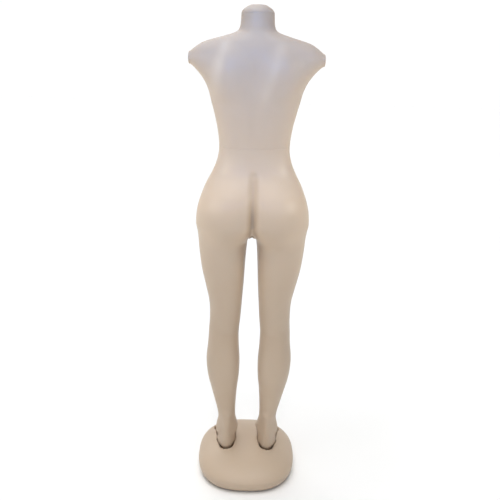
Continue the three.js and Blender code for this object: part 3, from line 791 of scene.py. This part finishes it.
def neck_cap(outline):
    edge = radii(outline, (0, NECK_Y), (0, 1))
    height = NECK_TOP_Z - NECK_SEAM_Z
    rings = plug(NECK_SOCKET_RADIUS) + [(edge - 0.25, CAP_GAP), (edge - 0.05, CAP_GAP + 0.2)]
    for up in np.linspace(0.03, 1, 22):
        rings.append((edge * along(NECK_CAP, 1, up), CAP_GAP + up * (height - CAP_GAP)))
    rings += [(edge * 0.3, height), (edge * 0.15, height)]
    return loft("neck_cap_moulded", (0, NECK_Y, NECK_SEAM_Z), rings, sharp=40)


def arm_cap(outline, side):
    edge = radii(outline, (0, ARM_END_Z), (1, 2))
    rings = plug(ARM_SOCKET_RADIUS) + [(edge - 0.25, CAP_GAP), (edge - 0.05, CAP_GAP + 0.2)]
    rings += [(edge, 1.0), (edge - 0.3, 1.8), (edge - 0.9, 2.5), (edge - 1.9, 3.15), (edge - 3.2, 3.6)]
    rings += [(edge * 0.7, 3.95), (edge * 0.45, 4.15), (edge * 0.2, 4.25)]
    name = "arm_cap_moulded_left" if side > 0 else "arm_cap_moulded_right"
    return loft(name, (side * ARM_END_X, 0, ARM_END_Z), rings, axis="x" if side > 0 else "-x", sharp=40)


# ---- Fittings ----


def socket_rings(radius, wall, low, high, flange_low, flange_high):
    """A tube with a flange round it."""
    inner, flange = radius - wall, radius + SOCKET_FLANGE
    rings = [(inner, low), (radius, low), (radius, flange_low), (flange, flange_low)]
    rings += [(flange, flange_high), (radius, flange_high), (radius, high - 0.5), (radius - 0.5, high)]
    return rings + [(inner + 0.8, high), (inner, high - 0.8)]


def sockets():
    """The rings that the caps push into, and the tubes that drop over the pegs."""
    rings = socket_rings(NECK_SOCKET_RADIUS, 2.5, -14, -0.5, -6, -3.3)
    yield loft("neck_ring", (0, NECK_Y, NECK_SEAM_Z), rings, closed=True), "neck_socket", "torso"
    for name, side, axis in (("left", 1, "x"), ("right", -1, "-x")):
        rings = socket_rings(ARM_SOCKET_RADIUS, 2.5, -14, -0.5, -6, -3.3)
        centre = (side * ARM_END_X, 0, ARM_END_Z)
        yield loft("arm_ring_" + name, centre, rings, axis, closed=True), "arm_socket_" + name, "torso"
        low, high = heights("heel_socket_" + name)
        rings = socket_rings(HEEL_SOCKET_RADIUS, 2.5, high, low, low + 11, low + 8)
        centre = (side * PEG_X, PEG_Y, 0)
        yield loft("heel_tube_" + name, centre, rings, closed=True), "heel_socket_" + name, "legs"


def waist_fitting(outline):
    """Plates in the two shells, the swivel between them, and the socket over its tenon."""
    edge = radii(outline, (0, WAIST_Y), (0, 1)) - WALL - 0.5
    centre = (0, WAIST_Y, 0)
    low, high = heights("hip_plate")
    swivel_radius, shaft = size("waist_swivel")[0] / 2, 10.0
    seat = high - 6.3
    rings = [(shaft + 0.5, low), (edge - 1, low), (edge, low + 1), (edge, high - 1), (edge - 1, high)]
    rings += [(swivel_radius + 1.5, high), (swivel_radius + 0.5, high - 1)]
    rings += [(swivel_radius + 0.5, seat), (shaft + 0.5, seat)]
    yield loft("hip_plate_moulded", centre, rings, closed=True), "hip_plate", "legs"

    low, top = heights("waist_swivel")
    rings = [(shaft - 1.5, low)] + thread(shaft, low + 1.5, low + 14)
    rings += [(shaft, seat + 0.3), (swivel_radius - 0.8, seat + 0.3), (swivel_radius, seat + 1.1)]
    rings += [(swivel_radius, high - 0.8), (swivel_radius - 0.8, high)]
    tenon = square(44, 6)
    rings += [(tenon + 1.5, high), (tenon + 0.4, high + 0.4), (tenon, high + 1.5), (tenon, top - 4)]
    rings += [(square(40.5, 5), top - 0.4), (square(39, 5), top)]
    yield loft("swivel_moulded", centre, rings), "waist_swivel", "swivel"

    low, high = heights("torso_plate")
    hole = square(45, 6)
    rings = [(hole, low), (edge - 1, low), (edge, low + 1)]
    rings += [(edge, high - 0.8), (edge - 0.8, high), (hole, high)]
    yield loft("torso_plate_moulded", centre, rings, closed=True), "torso_plate", "torso"

    low, high = heights("tenon_socket")
    flange = square(82, 12)
    rings = [(hole, low), (flange, low), (flange, low + 3.2), (square(80.4, 11.2), low + 4)]
    rings += [(square(55, 8), low + 4), (square(53.4, 8), low + 5), (square(52.4, 8), high - 0.6)]
    rings += [(square(51.2, 7.4), high), (hole, high)]
    yield loft("tenon_socket_moulded", centre, rings, closed=True), "tenon_socket", "torso"


def washer_rings(radius, hole, low, high):
    rings = [(hole, low), (radius - 0.3, low), (radius, low + 0.3)]
    return rings + [(radius, high - 0.3), (radius - 0.3, high), (hole, high)]


def nut_rings(radius, hole, low, high):
    corners, faces = hexagon(radius), radius * 0.88
    chamfer = np.minimum(corners, faces)
    bevel = radius * 0.07
    rings = [(hole, low + 0.6), (hole + 0.6, low), (chamfer, low), (corners, low + bevel)]
    return rings + [(corners, high - bevel), (chamfer, high), (hole + 0.6, high), (hole, high - 0.6)]


def screw(name, node, body, head_low, up):
    """A pan-head screw with a cross recess. `up` is 1 where its tip is up, and -1 where it is down."""
    low, high = heights(node)
    tip, head_end = (high, low) if up > 0 else (low, high)
    height = abs(head_end - head_low)
    radius = size(node)[1] / 2
    half_turns = int(abs(tip - head_low) / 0.45) - 3
    rings = [(0.4, tip)]
    rings += [(1.7 if i % 2 else 1.3, tip - up * (1 + 0.45 * i)) for i in range(half_turns)]
    rings += [(1.7, head_low), (radius - 0.2, head_low), (radius, head_low - up * 0.3)]
    for turn in np.linspace(0.15, 1, 5):
        out = radius * math.cos(turn * math.pi / 2) ** 0.5 if turn < 1 else cross(2.3, 1.1) + 0.2
        rings.append((out, head_low - up * (0.3 + (height - 0.3) * math.sin(turn * math.pi / 2))))
    rings += [(cross(2.2, 0.9), head_end + up * 0.1), (cross(1.5, 0.7), head_end + up * 1.3)]
    return loft(name, (*middle(node)[:2], 0), rings), node, body


def ring_fitting(name, node, body, rings_of, radius, hole):
    """A washer or a nut, round the middle of its node."""
    rings = rings_of(radius, hole, *heights(node))
    return loft(name, (*middle(node)[:2], 0), rings, closed=True), node, body


def heel_peg(name, node):
    """A rod with a thread below, a collar that stands on the plate, and a rounded top."""
    low, high = heights(node)
    rings = [(3.6, low)] + thread(5, low + 1, PLATE_TOP + 0.3)
    rings += [(8.2, PLATE_TOP + 0.3), (9, PLATE_TOP + 1.1), (9, PLATE_TOP + 7.2), (8.2, PLATE_TOP + 8)]
    rings += [(5, PLATE_TOP + 8), (5, high - 6), (4.6, high - 3.6), (3.6, high - 1.4), (2.2, high)]
    return loft(name, (*middle(node)[:2], 0), rings), node, "base"


def fasteners():
    yield ring_fitting("washer_waist", "swivel_washer", "swivel", washer_rings, 19, 10.3)
    yield ring_fitting("nut_waist", "swivel_nut", "swivel", nut_rings, 17, 10.2)
    for i in range(1, 5):
        seat = heights("tenon_socket")[0] + 4.3
        yield screw(f"screw_socket_{i}", f"socket_screw_{i}", "torso", seat, -1)
    for i in range(1, 7):
        yield screw(f"screw_base_{i}", f"base_screw_{i}", "base", PLATE_BOTTOM - 0.3, 1)
    for side in ("left", "right"):
        yield heel_peg("peg_" + side, "heel_peg_" + side)
        yield ring_fitting("washer_peg_" + side, "peg_washer_" + side, "base", washer_rings, 11, 5.3)
        yield ring_fitting("nut_peg_" + side, "peg_nut_" + side, "base", nut_rings, 8.6, 5.2)


def rubber_feet():
    for i in range(1, 5):
        node = f"rubber_foot_{i}"
        top = heights(node)[1]
        rings = [(3.4, 3.4), (3.8, 0.4), (4.2, 0), (9.4, 0), (10.4, 0.4), (11.2, 1.4)]
        rings += [(13, top - 0.8), (12.6, top)]
        yield loft(f"rubber_pad_{i}", (*middle(node)[:2], 0), rings, sharp=50), node, "base"


def steel_plate():
    """The plate under the base, with a pressed oval bead that stiffens it."""
    edge = plan_of_base(PLATE_INSET)
    b, t = PLATE_BOTTOM, PLATE_TOP
    bead = [(0.3, 0), (0.66, 0), (0.672, 0.5), (0.684, 1.6), (0.7, 2.0)]
    bead += [(0.72, 2.0), (0.736, 1.6), (0.748, 0.5), (0.76, 0)]
    rings = [(edge * out, b + up) for out, up in bead]
    rings += [(edge - 0.8, b), (edge, b + 0.8), (edge, t - 0.8), (edge - 0.8, t), (edge * 0.3, t)]
    return loft("steel_plate", (0, 0, 0), rings, sharp=50), "base_plate", "base"


# ---- Materials ----


class Finish:
    """A material made of nodes, with short ways to add and join them."""

    def __init__(self, name):
        self.material = bpy.data.materials.new(name)
        self.material.use_nodes = True
        self.tree = self.material.node_tree
        self.shader = self.tree.nodes["Principled BSDF"]
        self.place = self.add("ShaderNodeTexCoord").outputs["Object"]

    def set(self, node, inputs):
        for name, value in inputs.items():
            if isinstance(value, bpy.types.NodeSocket):
                self.tree.links.new(value, node.inputs[name])
            else:
                node.inputs[name].default_value = value

    def add(self, kind, inputs=None, **settings):
        node = self.tree.nodes.new(kind)
        for name, value in settings.items():
            setattr(node, name, value)
        self.set(node, inputs or {})
        return node

    def shade(self, **inputs):
        self.set(self.shader, {name.replace("_", " "): value for name, value in inputs.items()})

    def noise(self, scale, detail=2.0, roughness=0.5, place=None):
        inputs = {"Vector": place or self.place, "Scale": scale, "Detail": detail, "Roughness": roughness}
        return self.add("ShaderNodeTexNoise", inputs).outputs["Fac"]

    def stretched(self, scale):
        """The place, scaled by a different amount along each axis."""
        return self.add("ShaderNodeMapping", {"Vector": self.place, "Scale": scale}).outputs["Vector"]

    def cells(self, scale):
        return self.add("ShaderNodeTexVoronoi", {"Vector": self.place, "Scale": scale}).outputs["Color"]

    def remap(self, value, old_low, old_high, low, high):
        inputs = {"Value": value, "From Min": old_low, "From Max": old_high, "To Min": low, "To Max": high}
        return self.add("ShaderNodeMapRange", inputs).outputs["Result"]

    def math(self, operation, a, b=0.0):
        return self.add("ShaderNodeMath", {0: a, 1: b}, operation=operation).outputs[0]

    def times(self, a, b):
        return self.math("MULTIPLY", a, b)

    def between(self, amount, a, b):
        """The colour that is `amount` of the way from a to b."""
        node = self.add("ShaderNodeMix", data_type="RGBA")
        for name, kind, value in (("Factor", "VALUE", amount), ("A", "RGBA", a), ("B", "RGBA", b)):
            socket = next(s for s in node.inputs if s.name == name and s.type == kind)
            if isinstance(value, bpy.types.NodeSocket):
                self.tree.links.new(value, socket)
            else:
                socket.default_value = (*value, 1) if kind == "RGBA" else value
        return next(s for s in node.outputs if s.type == "RGBA")

    def bump(self, height, strength, distance, before=None):
        inputs = {"Height": height, "Strength": strength, "Distance": distance * MM}
        if before:
            inputs["Normal"] = before
        return self.add("ShaderNodeBump", inputs).outputs["Normal"]

    def along_axis(self, name):
        return self.add("ShaderNodeSeparateXYZ", {"Vector": self.place}).outputs[name]

    def beside(self, name, plane):
        """The distance on either side of a plane across an axis."""
        off = self.math("SUBTRACT", self.along_axis(name), plane)
        return self.math("ABSOLUTE", off)


# Painted shade down the crease between the buttocks: its strength and its colour.
CREASE_PAINTED_SHADE_STRENGTH = 0.36
CREASE_PAINTED_SHADE_COLOUR = (0.33, 0.22, 0.13)


def darker(colour, level):
    return tuple(level * c for c in colour)


def add_painted_crease_shade(m, colour, low, high):
    """Painted shade: a faint dark tone down the middle of the back between two heights, in metres,
    standing in for the shade in the channel between the buttocks.
    """
    tone = m.remap(m.beside("X", 0), 0.008, 0.021, 1, 0)
    for axis, start, whole in (("Z", low, low + 0.05), ("Z", high, high - 0.03), ("Y", 0.05, 0.07)):
        tone = m.times(tone, m.remap(m.along_axis(axis), start, whole, 0, 1))
    return m.between(m.times(tone, CREASE_PAINTED_SHADE_STRENGTH), colour, CREASE_PAINTED_SHADE_COLOUR)


def moulded_plastic(name, colour, shade, roughness, parting_y=None, grime_below=None, painted_crease_shade=None):
    """Satin polyethylene: softly mottled, with the fine orange peel and the slow waves of a blow
    moulding, faint handling scuffs, and where asked the mould's parting line, grime near the floor
    and painted shade down the crease between the buttocks. Those three are in millimetres."""
    m = Finish(name)
    mottle = m.remap(m.noise(5, 3, 0.55), 0.35, 0.65, 0, 1)
    speckle = m.remap(m.noise(160, 4, 0.7), 0.3, 0.7, 0, 1)
    scuffs = m.remap(m.noise(38, 5, 0.8, m.stretched((1, 1, 0.22))), 0.62, 0.74, 0, 1)
    base_colour = m.between(m.times(mottle, 0.55), colour, shade)
    base_colour = m.between(m.times(speckle, 0.10), base_colour, shade)
    base_colour = m.between(m.times(scuffs, 0.10), base_colour, darker(shade, 0.9))
    if grime_below:
        grime = m.remap(m.along_axis("Z"), 0.0, grime_below * MM, 1, 0)
        patchy = m.times(grime, m.noise(60, 4, 0.7))
        base_colour = m.between(m.times(patchy, 0.5), base_colour, darker(shade, 0.45))
    # Painted shade: the colour is darkened down the crease between the buttocks, where shade falls.
    if painted_crease_shade:
        base_colour = add_painted_crease_shade(m, base_colour, *(height * MM for height in painted_crease_shade))
    rough = m.remap(m.noise(24, 3), 0.3, 0.7, roughness - 0.05, roughness + 0.05)
    rough = m.math("ADD", rough, m.times(scuffs, 0.12))
    normal = m.bump(m.noise(9, 2), 0.25, 1.2)
    normal = m.bump(m.noise(650, 3, 0.6), 0.18, 0.12, normal)
    normal = m.bump(m.times(scuffs, -1), 0.15, 0.05, normal)
    if parting_y is not None:
        line = m.remap(m.beside("Y", parting_y * MM), 0, 0.0009, 1, 0)
        normal = m.bump(line, 0.35, 0.25, normal)
    m.shade(Base_Color=base_colour, Roughness=rough, Normal=normal, IOR=1.45)
    m.shade(Subsurface_Weight=0.12, Subsurface_Radius=(1.0, 0.6, 0.4), Subsurface_Scale=0.006)
    return m.material


def fitting_plastic():
    m = Finish("fitting_plastic")
    tone = m.remap(m.noise(30, 3), 0.35, 0.65, 0, 1)
    colour = m.between(m.times(tone, 0.6), (0.78, 0.76, 0.70), (0.70, 0.67, 0.60))
    grain = m.noise(1400, 2, 0.6)
    normal = m.bump(grain, 0.2, 0.06)
    m.shade(Base_Color=colour, Roughness=m.remap(grain, 0.3, 0.7, 0.42, 0.58), Normal=normal)
    return m.material


def zinc():
    """Bright zinc plate: small crystals of slightly different shade, and fine turning marks."""
    m = Finish("plated_steel")
    crystals = m.add("ShaderNodeSeparateColor", {"Color": m.cells(900)}).outputs[0]
    colour = m.between(crystals, (0.62, 0.63, 0.65), (0.72, 0.73, 0.74))
    dull = m.remap(m.noise(120, 4, 0.7), 0.35, 0.7, 0, 1)
    colour = m.between(m.times(dull, 0.35), colour, (0.50, 0.49, 0.46))
    rough = m.math("ADD", m.remap(crystals, 0, 1, 0.24, 0.36), m.times(dull, 0.14))
    normal = m.bump(m.noise(300, 3, 0.6, m.stretched((1, 1, 12))), 0.12, 0.05)
    m.shade(Base_Color=colour, Metallic=1.0, Roughness=rough, Normal=normal)
    return m.material


def powder_coat():
    m = Finish("painted_steel")
    peel = m.noise(900, 3, 0.6)
    rubbed = m.remap(m.noise(45, 6, 0.8), 0.60, 0.72, 0, 1)
    colour = m.between(rubbed, (0.022, 0.022, 0.023), (0.06, 0.058, 0.055))
    rough = m.remap(peel, 0.3, 0.7, 0.42, 0.62)
    m.shade(Base_Color=colour, Roughness=rough, Normal=m.bump(peel, 0.4, 0.12))
    return m.material


def rubber():
    m = Finish("black_rubber")
    dust = m.remap(m.noise(220, 5, 0.8), 0.52, 0.75, 0, 1)
    colour = m.between(m.times(dust, 0.5), (0.012, 0.012, 0.012), (0.09, 0.085, 0.075))
    normal = m.bump(m.noise(1100, 3), 0.3, 0.1)
    m.shade(Base_Color=colour, Roughness=m.remap(dust, 0, 1, 0.72, 0.92), Normal=normal)
    return m.material


def floor_finish():
    m = Finish("floor")
    tone = m.remap(m.noise(1.5, 3), 0.35, 0.65, 0, 1)
    colour = m.between(tone, (0.955, 0.95, 0.94), (0.97, 0.965, 0.96))
    m.shade(Base_Color=colour, Roughness=0.95, Specular_IOR_Level=0.1)
    return m.material


# ---- Camera, light and floor ----

CAMERA_PLACE = (0.0053, 2.002, 1.40)
CAMERA_TILT, CAMERA_ROLL = math.radians(16.7), math.radians(1.54)
CAMERA_LENS = 45.7

# Suns: where from, and strength.
SUNS = {"overhead": ((0.05, 0.10, 1.0), 1.90), "front": ((0.25, -0.8, 0.9), 0.7)}
SKY_OVERHEAD = (0.28, 0.29, 0.31)
SIDE_LEVELS = (0.5, 0.8)  # of the studio to the figure's right and left, where its front is 1

COOL, WARM, PLAIN = (0.08, 0.34, 1.0), (1.0, 0.95, 0.80), (1.0, 1.0, 1.0)
# Soft round fills: place, aim, diameter, power, colour, spread in degrees.
FILLS = {
    "cool_fill_left": ((0.48, 1.15, 1.95), (0.20, 0.0, 1.41), 0.8, 0.95, COOL, 48),
    "cool_fill_right": ((-0.48, 1.10, 1.95), (-0.18, 0.0, 1.42), 0.8, 0.62, COOL, 48),
    "base_fill": ((0, 1.30, 1.30), (0, 0.04, 0.10), 0.4, 0.12, PLAIN, 24),
    "hip_fill_left": ((1.10, 0.65, 1.60), (0.15, 0.04, 1.05), 0.5, 0.42, WARM, 36),
    "hip_fill_right": ((-1.10, 0.60, 1.60), (-0.15, 0.04, 1.05), 0.5, 0.42, WARM, 36),
}
# Narrow slanted streaks of light on the back, as from the gap of a blind: aim and power.
STREAKS = {
    "streak_left": ((0.113, 0.06, 1.375), 0.0042),
    "streak_right": ((-0.050, 0.08, 1.365), 0.0019),
}
STREAK_TOWARD = (0, -0.85, -0.25)
STREAK_LEAN = -17
STREAK_SIZE = (0.012, 0.17)
STREAK_COLOUR = (0.55, 0.75, 1.0)
STREAK_SPREAD = 3.0


def leaning(toward, roll):
    """The turn of a camera or light that looks in a direction, rolled about it."""
    return Vector(toward).to_track_quat("-Z", "Y") @ Quaternion((0, 0, 1), roll)


def add_camera():
    data = bpy.data.cameras.new("camera")
    data.sensor_width = 36
    data.lens = CAMERA_LENS
    data.clip_end = 60
    camera = bpy.data.objects.new("camera", data)
    camera.location = CAMERA_PLACE
    camera.rotation_mode = "QUATERNION"
    looking = (0, -math.cos(CAMERA_TILT), -math.sin(CAMERA_TILT))
    camera.rotation_quaternion = leaning(looking, CAMERA_ROLL)
    bpy.context.scene.collection.objects.link(camera)
    bpy.context.scene.camera = camera


def add_sun(name, origin, strength):
    """A broad soft light that comes from one side of the studio."""
    data = bpy.data.lights.new(name, "SUN")
    data.energy = strength
    data.angle = math.radians(50)
    data.color = (1.0, 1.0, 0.98)
    sun = bpy.data.objects.new(name, data)
    sun.rotation_euler = Vector(origin).to_track_quat("Z", "Y").to_euler()
    bpy.context.scene.collection.objects.link(sun)


def add_area_light(name, place, toward, extent, power, colour, spread, lean=0):
    """A light that only reaches one part of the figure: a disk, or a rectangle where two sizes are given."""
    data = bpy.data.lights.new(name, "AREA")
    if isinstance(extent, tuple):
        data.shape = "RECTANGLE"
        data.size, data.size_y = extent
    else:
        data.shape = "DISK"
        data.size = extent
    data.energy = power
    data.color = colour
    data.spread = math.radians(spread)
    light = bpy.data.objects.new(name, data)
    light.location = place
    light.rotation_euler = leaning(toward, math.radians(lean)).to_euler()
    light.visible_camera = False
    bpy.context.scene.collection.objects.link(light)


def add_fills_and_streaks():
    for name, (place, aim, diameter, power, colour, spread) in FILLS.items():
        add_area_light(name, place, Vector(aim) - Vector(place), diameter, power, colour, spread)
    for name, (aim, power) in STREAKS.items():
        place = Vector(aim) - Vector(STREAK_TOWARD)
        add_area_light(
            name, place, STREAK_TOWARD, STREAK_SIZE, power, STREAK_COLOUR, STREAK_SPREAD, STREAK_LEAN
        )


def add_sky():
    """A studio that is white round the horizon in front of the figure and dimmer elsewhere."""
    world = bpy.data.worlds.new("studio")
    world.use_nodes = True
    tree = world.node_tree
    place = tree.nodes.new("ShaderNodeTexCoord")
    split = tree.nodes.new("ShaderNodeSeparateXYZ")
    ramp = tree.nodes.new("ShaderNodeValToRGB")
    tree.links.new(place.outputs["Generated"], split.inputs[0])
    tree.links.new(split.outputs["Z"], ramp.inputs[0])
    tree.links.new(ramp.outputs["Color"], tree.nodes["Background"].inputs["Color"])
    side = tree.nodes.new("ShaderNodeMapRange")
    level = tree.nodes.new("ShaderNodeMapRange")
    for node, values in ((side, (-0.88, -0.5, 1.0, 0.0)), (level, (-0.6, 0.6, *SIDE_LEVELS))):
        for name, value in zip(("From Min", "From Max", "To Min", "To Max"), values):
            node.inputs[name].default_value = value
    tree.links.new(split.outputs["X"], level.inputs["Value"])
    tree.links.new(level.outputs["Result"], side.inputs["To Max"])
    tree.links.new(split.outputs["Y"], side.inputs["Value"])
    tree.links.new(side.outputs["Result"], tree.nodes["Background"].inputs["Strength"])
    first, last = ramp.color_ramp.elements
    first.position, first.color = 0.10, (1.02, 1.02, 1.02, 1)
    mean_side = sum(SIDE_LEVELS) / 2
    last.position, last.color = 0.22, (*(c / mean_side for c in SKY_OVERHEAD), 1)
    bpy.context.scene.world = world
    bpy.context.scene.view_settings.view_transform = "Standard"


def add_floor():
    bm = bmesh.new()
    bmesh.ops.create_grid(bm, x_segments=12, y_segments=12, size=20)
    floor = finished(bm, "floor")
    floor.data.materials.append(floor_finish())


# ---- The scene ----

add_camera()
for sun_name, sun in SUNS.items():
    add_sun(sun_name, *sun)
add_fills_and_streaks()
add_sky()
add_floor()

CREAM = (0.555, 0.437, 0.328)
CREAM_SHADE = (0.525, 0.405, 0.297)
finishes = {
    # The shells get painted shade down the crease between the buttocks, from 830 to 1072 mm up.
    "cream_plastic": moulded_plastic(
        "cream_plastic", CREAM, CREAM_SHADE, 0.44, parting_y=4, painted_crease_shade=(830, 1072)
    ),
    "base_plastic": moulded_plastic("base_plastic", CREAM, CREAM_SHADE, 0.48, grime_below=16),
    "fitting_plastic": fitting_plastic(),
    "plated_steel": zinc(),
    "painted_steel": powder_coat(),
    "black_rubber": rubber(),
}
slot_of = {row["node"]: row["material_slot"] for row in frame["record"]["subparts"]}


def place(piece, node, body):
    """Puts a piece in the part: on its body, in its node's stead, with its slot's finish."""
    piece.data.materials.clear()
    piece.data.materials.append(finishes[slot_of[node]])
    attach(piece, body)
    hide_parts(node)


lower, waist_outline = lower_body()
upper, neck_outline, arm_outline = torso()
place(lower, "lower_body_shell", "legs")
place(upper, "torso_shell", "torso")
place(base(), "base_cover", "base")
place(neck_cap(neck_outline), "neck_cap", "neck_cap")
for arm_name, arm_side in (("left", 1), ("right", -1)):
    place(arm_cap(arm_outline, arm_side), "arm_cap_" + arm_name, "arm_cap_" + arm_name)
for group in (sockets(), waist_fitting(waist_outline), fasteners(), rubber_feet(), [steel_plate()]):
    for made in group:
        place(*made)
